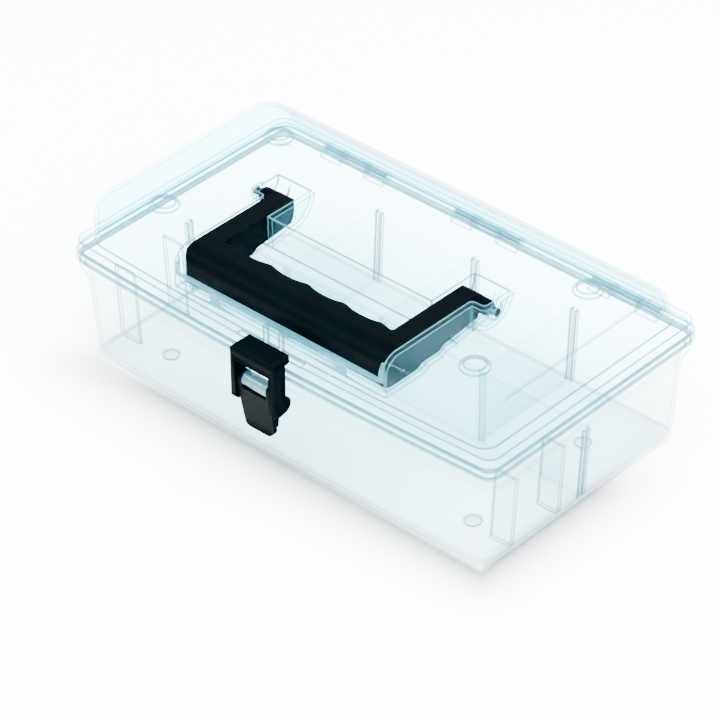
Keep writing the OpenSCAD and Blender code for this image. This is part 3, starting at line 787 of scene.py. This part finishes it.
@dataclass
class Moulding:
    """Turns a CAD node's loose triangles into a moulded piece with smooth curves and flat faces.

    Attributes:
        palette: The materials.
        sharp: Turn, in degrees, from which an edge counts as one.
        segments: Faces across a rounded edge.
        flat: Turn, in degrees, below which faces are joined before their edges are rounded.
        even_weight: How far the largest faces settle a rounded piece's normals.
        merged: Points nearer to each other than this, in metres, are merged.
        fine: Longest edge that is left where a shaping moves something.
        refinings: Most times that the mesh is refined for a shaping.
        tries: Places along an edge at which a shaping is tried.
        still: A move smaller than this, in metres, is none.
        normal_steps: Steps in 1 when normals are sorted into planes.
        plane_step: Step, in metres, when distances are sorted into planes.
    """

    palette: Palette
    sharp: float = 28.0
    segments: int = 3
    flat: float = 0.4
    even_weight: int = 60
    merged: float = 2e-6
    fine: float = 0.7 * MM
    refinings: int = 7
    tries: int = 9
    still: float = 1e-6
    normal_steps: float = 500.0
    plane_step: float = 0.02 * MM

    def make(self, node: str, body: str, finish: Finish, round_off: float = 0.0,
             shaping: Shaping | None = None) -> bpy.types.Object:
        """Makes a moulded piece of a CAD node.

        It copies the node's mesh, merges its points, shapes it, and rounds its edges or evens its
        normals.

        Args:
            node: The CAD node that the piece stands for.
            body: The body that it rides on.
            finish: Its finish.
            round_off: Width of the rounding of its edges, in metres; with 0 they stay crisp.
            shaping: Moves the mesh's points.

        Returns:
            The piece.
        """
        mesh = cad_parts[node].data.copy()
        mesh.name = node + "_moulded"
        work = bmesh.new()
        work.from_mesh(mesh)
        bmesh.ops.remove_doubles(work, verts=work.verts, dist=self.merged)
        if shaping is not None:
            self.shape(work, shaping)
        if round_off:
            bmesh.ops.dissolve_limit(work, angle_limit=math.radians(self.flat),
                                     verts=work.verts, edges=work.edges)
        work.to_mesh(mesh)
        work.free()
        mesh.polygons.foreach_set("use_smooth", np.ones(len(mesh.polygons), dtype=bool))
        piece = stand(node + "_moulded", mesh)
        if round_off:
            self.round_edges(piece, round_off)
        else:
            mesh.normals_split_custom_set(self.even_normals(mesh).tolist())
        self.palette.dress(piece, finish)
        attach(piece, body)
        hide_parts(node)
        log.info("moulded %s from %d faces", node, len(mesh.polygons))
        return piece

    def shape(self, work: bmesh.types.BMesh, shaping: Shaping) -> None:
        """Refines the mesh where the shaping moves it, then moves its points.

        Args:
            work: The mesh.
            shaping: Moves points.
        """
        share = np.linspace(0.0, 1.0, self.tries)[None, :, None]
        for _ in range(self.refinings):
            ends = np.array([[edge.verts[0].co, edge.verts[1].co] for edge in work.edges])
            long = np.linalg.norm(ends[:, 0] - ends[:, 1], axis=1) > self.fine
            along = ends[:, :1] * (1.0 - share) + ends[:, 1:] * share
            shaped = shaping(along.reshape(-1, 3)).reshape(along.shape)
            moved = np.abs(shaped - along).max(axis=(1, 2)) > self.still
            chosen = [edge for edge, split in zip(work.edges, long & moved) if split]
            if not chosen:
                break
            bmesh.ops.subdivide_edges(work, edges=chosen, cuts=1)
            bmesh.ops.triangulate(work, faces=[face for face in work.faces if len(face.verts) > 3])
        points = np.array([vert.co for vert in work.verts])
        for vert, place in zip(work.verts, shaping(points).tolist()):
            vert.co = place

    def round_edges(self, piece: bpy.types.Object, width: float) -> None:
        """Rounds a piece's edges.

        Args:
            piece: The piece.
            width: Width of the rounding, in metres.
        """
        rounding = piece.modifiers.new("rounding", "BEVEL")
        rounding.width = width
        rounding.segments = self.segments
        rounding.limit_method = "ANGLE"
        rounding.angle_limit = math.radians(self.sharp)
        rounding.use_clamp_overlap = True
        even = piece.modifiers.new("even_normals", "WEIGHTED_NORMAL")
        even.mode = "FACE_AREA"
        even.weight = self.even_weight

    def even_normals(self, mesh: bpy.types.Mesh) -> np.ndarray:
        """Works out each face corner's normal so that curves are smooth and faces stay flat.

        A corner's normal is the sum, over the triangles that meet in its point and turn from its
        own by less than the limit, of each one's normal times the area of the whole plane that it
        lies in.

        Args:
            mesh: A mesh of triangles whose points are merged.

        Returns:
            One unit normal a corner.
        """
        points = np.empty(len(mesh.vertices) * 3)
        mesh.vertices.foreach_get("co", points)
        points = points.reshape(-1, 3)
        corners = np.empty(len(mesh.loops), dtype=np.int64)
        mesh.loops.foreach_get("vertex_index", corners)
        a, b, c = (points[corners.reshape(-1, 3)[:, k]] for k in range(3))
        across = np.cross(b - a, c - a)
        twice = np.linalg.norm(across, axis=1)
        normal = across / np.maximum(twice, NOT_ZERO)[:, None]
        offset = np.einsum("ij,ij->i", normal, a)
        plane = np.round(np.column_stack([normal * self.normal_steps, offset / self.plane_step]))
        _, which = np.unique(plane, axis=0, return_inverse=True)
        which = which.ravel()
        area = np.bincount(which, weights=twice)[which]
        # Pairs each corner with every corner of the same point, itself included.
        order = np.argsort(corners, kind="stable")
        meeting = np.bincount(corners, minlength=len(points))
        first = np.concatenate([[0], np.cumsum(meeting)[:-1]])
        many = meeting[corners[order]]
        mine = np.repeat(np.arange(len(order)), many)
        step = np.arange(len(mine)) - np.repeat(np.cumsum(many) - many, many)
        other = first[corners[order]][mine] + step
        me, you = order[mine] // 3, order[other] // 3
        turn = np.einsum("ij,ij->i", normal[me], normal[you])
        near = turn > math.cos(math.radians(self.sharp))
        total = np.zeros((len(corners), 3))
        np.add.at(total, order[mine[near]], normal[you[near]] * area[you[near]][:, None])
        return total / np.maximum(np.linalg.norm(total, axis=1), NOT_ZERO)[:, None]


@dataclass
class Tub:
    """The clear tub with its slots, latch bar and hinge knuckles.

    Attributes:
        body: The body that it rides on.
        bar_y: Axis of the latch bar, across.
        bar_z: Axis of the latch bar, up.
        painted_shade_fill: Painted shade inside the latch bar, a dark cloud round a squarer core,
            where the thick clear bar looks grey.
    """

    body: str = "tub_body"
    bar_y: float = -87.05 * MM
    bar_z: float = 57.2 * MM
    # painted shade: dark haze pieces inside the clear latch bar
    painted_shade_fill: tuple[RoundBar, ...] = (RoundBar("latch_bar_shade_cloud", 7.8 * MM, 3.8 * MM, 2.0),
                                       RoundBar("latch_bar_shade_core", 4.4 * MM, 2.3 * MM, 5.0))

    def build(self, moulding: Moulding) -> None:
        """Makes the tub, with a painted shade, a dark cloud, inside its latch bar.

        Args:
            moulding: Turns CAD nodes into moulded pieces.
        """
        moulding.make("tub", self.body, Finish.CLEAR)
        for cloud in self.painted_shade_fill:
            piece = cloud.make(self.bar_y, self.bar_z)
            moulding.palette.dress(piece, Finish.CLOUDED)
            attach(piece, self.body)


@dataclass
class Lid:
    """The clear lid: dome, sunk handle recess with pivot pockets, stacking sockets and skirt."""

    body: str = "lid_body"

    def build(self, moulding: Moulding) -> None:
        """Makes the lid.

        Args:
            moulding: Turns CAD nodes into moulded pieces.
        """
        moulding.make("lid", self.body, Finish.TINTED)


@dataclass
class CarryHandle:
    """The dark handle that lies in the recess, with a round end on each arm and knuckle.

    Attributes:
        body: The body that it rides on.
        round_off: Width of the rounding of its edges.
        arm_in: Distance of an arm's inner side from the middle.
        end_r: Radius of the round end of an arm, in plan.
        end_reach: How far round the end the points are looked at, in radii.
        knuckle_end: Distance of a knuckle's end from the middle.
        knuckle_r: Radius of a knuckle.
        cap_r: Radius of the rounded rim of its end.
        cap_reach: How far from that end the points are looked at, in radii of the rim.
        pivot_y: The pivot's axis, across.
        pivot_z: The pivot's axis, up.
        slack: Allowance for a point that lies on a limit.
    """

    body: str = "handle_body"
    round_off: float = 0.8 * MM
    arm_in: float = 58.0 * MM
    end_r: float = 3.6 * MM
    end_reach: float = 2.0
    knuckle_end: float = 78.0 * MM
    knuckle_r: float = 4.4 * MM
    cap_r: float = 2.1 * MM
    cap_reach: float = 1.5
    pivot_y: float = -0.55 * MM
    pivot_z: float = 94.0 * MM
    slack: float = 0.01 * MM

    def build(self, moulding: Moulding) -> None:
        """Makes the handle.

        Args:
            moulding: Turns CAD nodes into moulded pieces.
        """
        moulding.make("handle", self.body, Finish.DARK, self.round_off, self.round_ends)

    def round_ends(self, points: np.ndarray) -> np.ndarray:
        """Rounds the inner corner of each arm's end in plan, and the rim of each knuckle's end.

        The arm's corner is a square one of the plan, x and y; the knuckle's is one of the
        distance along the pivot and the distance from it.

        Args:
            points: Points as rows.

        Returns:
            The points afterwards.
        """
        _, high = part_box("handle")
        x, y, z = points.T
        side = np.where(x < 0.0, -1.0, 1.0)
        off = np.hypot(y - self.pivot_y, z - self.pivot_z)
        end, rim = rounded_corner(self.knuckle_end - np.abs(x), self.knuckle_r - off, self.cap_r)
        on_knuckle = np.abs(x) > self.knuckle_end - self.cap_reach * self.cap_r
        on_knuckle &= np.abs(x) < self.knuckle_end + self.slack
        turned = np.where(on_knuckle, (self.knuckle_r - rim) / np.maximum(off, NOT_ZERO), 1.0)
        x = np.where(on_knuckle, side * (self.knuckle_end - end), x)
        y = self.pivot_y + (y - self.pivot_y) * turned
        z = self.pivot_z + (z - self.pivot_z) * turned
        inner, back = rounded_corner(np.abs(x) - self.arm_in, high[1] - y, self.end_r)
        around = self.end_reach * self.end_r
        on_arm = (y > self.pivot_y - around) & (np.abs(x) < self.arm_in + around)
        on_arm &= np.abs(x) > self.arm_in - self.slack
        return np.column_stack([np.where(on_arm, side * (self.arm_in + inner), x),
                                np.where(on_arm, high[1] - back, y), z])


@dataclass
class Latch:
    """The over-centre latch: hook and lever.

    Attributes:
        hook_body: The body that the hook rides on.
        lever_body: The body that the lever rides on.
        round_off: Width of the rounding of their edges.
        shoulder_r: Radius of the hook's shoulders, and of its sides' turn to the lip.
        brow_r: Radius between the hook's top and front.
        top_reach: How far down the hook's top part goes, in radii of the brow.
    """

    hook_body: str = "hook_body"
    lever_body: str = "lever_body"
    round_off: float = 0.6 * MM
    shoulder_r: float = 4.6 * MM
    brow_r: float = 4.4 * MM
    top_reach: float = 2.0

    def build(self, moulding: Moulding) -> None:
        """Makes the hook and the lever.

        Args:
            moulding: Turns CAD nodes into moulded pieces.
        """
        moulding.make("latch_hook", self.hook_body, Finish.DARK, self.round_off,
                      self.round_shoulders)
        moulding.make("latch_lever", self.lever_body, Finish.DARK, self.round_off)

    def round_shoulders(self, points: np.ndarray) -> np.ndarray:
        """Rounds the hook's outer corners: top to sides, top to front, and sides to lip in plan.

        Each is a square corner of two distances from the hook's box.

        Args:
            points: Points as rows.

        Returns:
            The points afterwards.
        """
        low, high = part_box("latch_hook")
        x, y, z = points.T
        side = np.where(x < 0.0, -1.0, 1.0)
        above = z > high[2] - self.top_reach * self.brow_r
        flank, roof = rounded_corner(high[0] - np.abs(x), high[2] - z, self.shoulder_r)
        face, roof = rounded_corner(y - low[1], roof, self.brow_r)
        lip_flank, lip = rounded_corner(flank, high[1] - y, self.shoulder_r)
        flank = np.where(above, lip_flank, flank)
        y = np.where(above, high[1] - lip, y)
        y = np.where((y - low[1] < self.brow_r) & above, low[1] + face, y)
        return np.column_stack([side * (high[0] - flank), y, high[2] - roof])


@dataclass
class Dividers:
    """The clear partitions that slide into the tub's slots."""

    body: str = "tub_body"
    nodes: tuple[str, ...] = ("long_divider", "cross_divider_left", "cross_divider_centre",
                              "cross_divider_right")

    def build(self, moulding: Moulding) -> None:
        """Makes the dividers.

        Args:
            moulding: Turns CAD nodes into moulded pieces.
        """
        for node in self.nodes:
            moulding.make(node, self.body, Finish.SHEET)


@dataclass
class HingePins:
    """The steel pins of the three hinges, which keep the CAD's own shape."""

    nodes: tuple[str, ...] = ("hinge_pin_left", "hinge_pin_centre", "hinge_pin_right")

    def build(self, palette: Palette) -> None:
        """Dresses the pins.

        Args:
            palette: The materials.
        """
        for node in self.nodes:
            palette.dress(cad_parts[node], Finish.STEEL)


def main() -> None:
    """Builds the scene in order."""
    logging.basicConfig(level=logging.INFO)
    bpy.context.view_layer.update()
    studio = Studio()
    studio.camera()
    studio.light()
    studio.floor()
    palette = Palette()
    moulding = Moulding(palette)
    for part in (Tub(), Lid(), CarryHandle(), Latch(), Dividers()):
        part.build(moulding)
    HingePins().build(palette)


if __name__ == "__main__":
    main()
